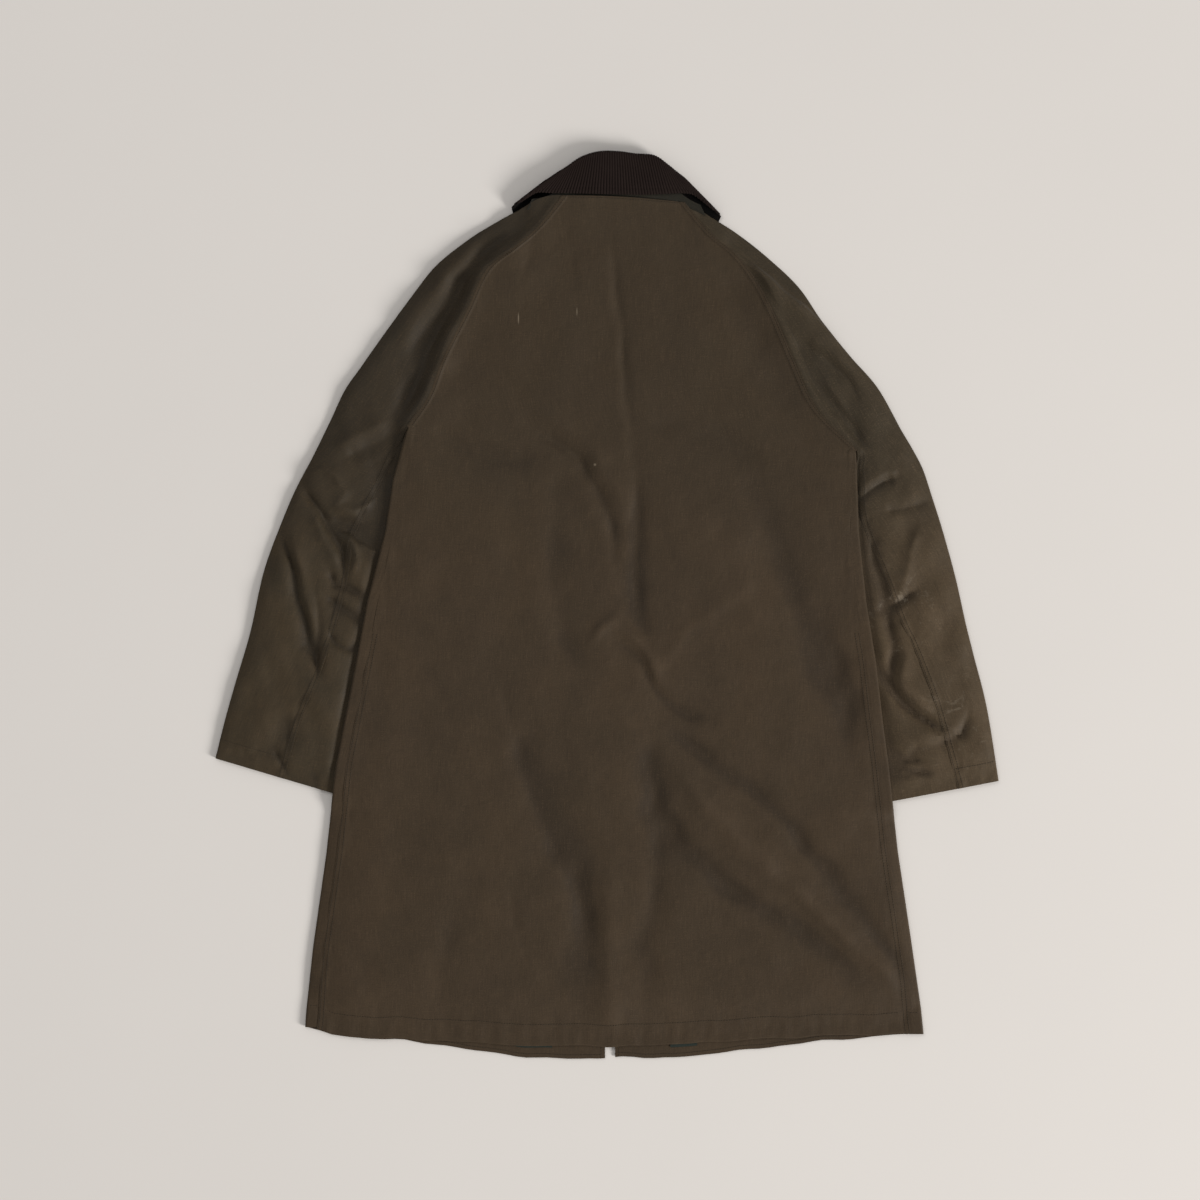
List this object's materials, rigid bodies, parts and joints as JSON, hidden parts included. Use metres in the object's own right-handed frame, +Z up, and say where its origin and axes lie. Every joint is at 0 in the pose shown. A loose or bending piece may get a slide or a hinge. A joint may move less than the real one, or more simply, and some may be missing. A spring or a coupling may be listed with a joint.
{
  "type": "waxed cotton jacket laid flat",
  "caption": "Long waxed cotton coat with raglan sleeves and a corduroy collar, laid flat with its back up.",
  "frame": {"origin": "middle of the bounding box on the surface that the jacket lies on", "axes": "+Y from the hem to the collar, +Z up out of the back, +X across to the right as seen from above"},
  "size_m": [0.9388, 1.0872, 0.0133],
  "materials": {
    "waxed_cotton": "matt waxed cotton, olive brown",
    "waxed_cotton_left_sleeve": "matt waxed cotton, greener olive",
    "waxed_cotton_right_sleeve": "waxed cotton with worn wax, paler brown",
    "corduroy": "dark brown corduroy",
    "lining": "dark green lining"
  },
  "bodies": {
    "root": {"back_panel": "waxed_cotton", "left_front": "waxed_cotton", "right_front": "waxed_cotton", "left_sleeve": "waxed_cotton_left_sleeve", "right_sleeve": "waxed_cotton_right_sleeve", "top_collar": "corduroy", "under_collar": "waxed_cotton", "left_lining": "lining", "right_lining": "lining"}
  },
  "joints": []
}
